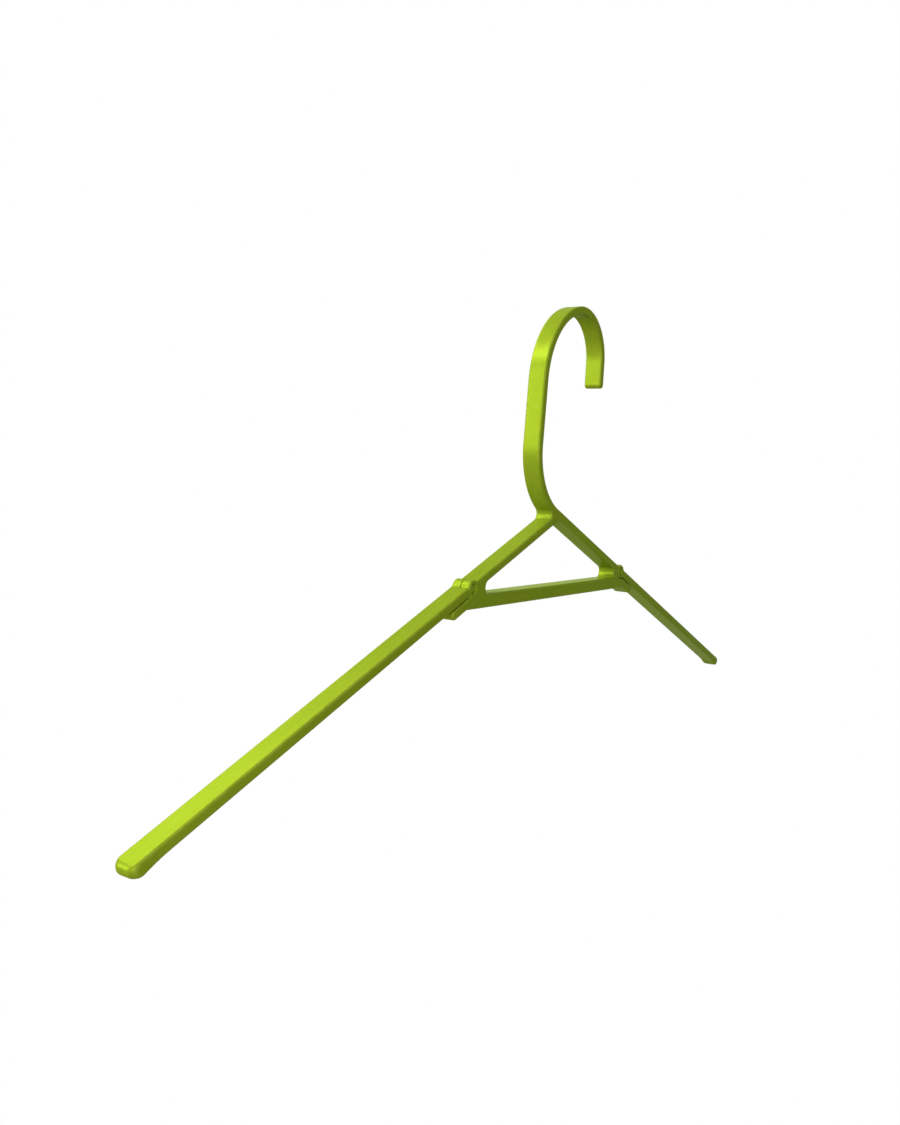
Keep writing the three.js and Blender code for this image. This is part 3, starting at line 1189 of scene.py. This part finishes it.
@dataclass(frozen=True)
class Studio:
    """Pale floor, white surround, soft lamps and the camera."""

    floor_z: float = -1.1
    floor_half: float = 6.0
    floor_colour: Colour = (0.64, 0.64, 0.63)
    floor_white: float = 0.6
    floor_fade: tuple[float, float] = (0.25, 0.60)
    ambient: float = 0.07
    lamps: tuple[SoftBox, ...] = (
        SoftBox("key", (0.08, 0.70, 0.70), 0.8, 0.45, 3.5, (-0.14, 0.0, -0.13)),
        SoftBox("left", (-0.76, 0.60, 0.22), 1.2, 0.6, 8.6),
        SoftBox("front", (-0.80, -0.60, 0.10), 0.42, 0.4, 1.4, (-0.17, 0.0, -0.13)),
        SoftBox("high_left", (-0.54, 0.47, 0.69), 0.7, 0.16, 1.8, (-0.04, 0.0, -0.06)),
        SoftBox("high_front", (-0.10, -0.50, 0.86), 0.7, 0.16, 0.5, (-0.06, 0.0, -0.10)),
    )
    sensor: float = 36.0
    clip: tuple[float, float] = (0.01, 50.0)
    lens: float = 32.49
    eye: Colour = (-0.37773, -0.19236, -0.06829)
    right: Colour = (0.55223, -0.83195, 0.05390)
    ahead: Colour = (0.83271, 0.54728, -0.08413)

    @staticmethod
    def seen(graph: Graph) -> Socket:
        """1 for camera, glossy and transmission rays, and 0 for the rest."""
        path = graph.node("ShaderNodeLightPath", {}, {})
        return path["Is Camera Ray"].larger(path["Is Glossy Ray"]).larger(path["Is Transmission Ray"])

    def floor(self) -> None:
        """Makes the floor, which fades into the white surround away from the hanger."""
        corners = ((-1, -1), (1, -1), (1, 1), (-1, 1))
        spots = [(x * self.floor_half, y * self.floor_half, self.floor_z) for x, y in corners]
        mesh = bpy.data.meshes.new("floor")
        mesh.from_pydata(spots, [], [(0, 1, 2, 3)])
        material = bpy.data.materials.new("pale_floor")
        graph = Graph.of(material)
        where = graph.node("ShaderNodeTexCoord", {}, {})["Object"]
        axes = graph.node("ShaderNodeSeparateXYZ", {}, {"Vector": where})
        far = (axes["X"] ** 2.0 + axes["Y"] ** 2.0) ** 0.5
        paint = graph.node("ShaderNodeBsdfDiffuse", {}, {"Color": self.floor_colour})["BSDF"]
        glow = graph.node("ShaderNodeEmission", {}, {"Color": WHITE, "Strength": 1.0})
        white = glow["Emission"]
        rest = 1.0 - self.floor_white
        share = (far.ramp(*self.floor_fade) * rest + self.floor_white) * self.seen(graph)
        shader = graph.node("ShaderNodeMixShader", {}, {0: share, 1: paint, 2: white})["Shader"]
        graph.node("ShaderNodeOutputMaterial", {}, {"Surface": shader})
        mesh.materials.append(material)
        floor = bpy.data.objects.new("floor", mesh)
        bpy.context.scene.collection.objects.link(floor)
        floor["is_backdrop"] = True

    def surround(self) -> None:
        """Makes the world: white to the eye and in reflections, soft and even as light."""
        world = bpy.data.worlds.new("white_surround")
        graph = Graph.of(world)
        strength = self.ambient + self.seen(graph) * (1.0 - self.ambient)
        sky = graph.node("ShaderNodeBackground", {}, {"Color": WHITE, "Strength": strength})
        graph.node("ShaderNodeOutputWorld", {}, {"Surface": sky["Background"]})
        bpy.context.scene.world = world

    def camera(self) -> None:
        """Makes the camera at the photograph's viewing angle."""
        data = bpy.data.cameras.new("camera")
        data.sensor_width, data.lens = self.sensor, self.lens
        data.clip_start, data.clip_end = self.clip
        camera = bpy.data.objects.new("camera", data)
        ahead = np.array(self.ahead) / np.linalg.norm(self.ahead)
        right = np.array(self.right) - ahead * np.dot(self.right, ahead)
        right /= np.linalg.norm(right)
        pose = np.eye(4)
        pose[:3, 0], pose[:3, 1], pose[:3, 2] = right, np.cross(right, ahead), -ahead
        pose[:3, 3] = self.eye
        camera.matrix_world = Matrix(pose.tolist())
        bpy.context.scene.collection.objects.link(camera)
        bpy.context.scene.camera = camera

    def build(self) -> None:
        """Makes the whole studio."""
        self.floor()
        self.surround()
        self.camera()
        for lamp in self.lamps:
            lamp.build()
        bpy.context.scene.view_settings.view_transform = "Standard"


def main() -> None:
    """Builds the hanger's pieces in order, then the studio."""
    logging.basicConfig(level=logging.INFO, format="%(name)s: %(message)s")
    plan, section, hinge = Plan(), BarSection(), Hinge()
    HangerFrame(plan, section, hinge).dress()
    for side in Side:
        FoldingArm(plan, section, hinge, side).dress()
        HingePin(plan, section, hinge, side).dress()
    Studio().build()
    boxes = {"cad": CAD_BOX, "visual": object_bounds()}
    {name: [list(corner) for corner in box] for name, box in boxes.items()}
    log.info("boxes written")


if __name__ == "__main__":
    main()
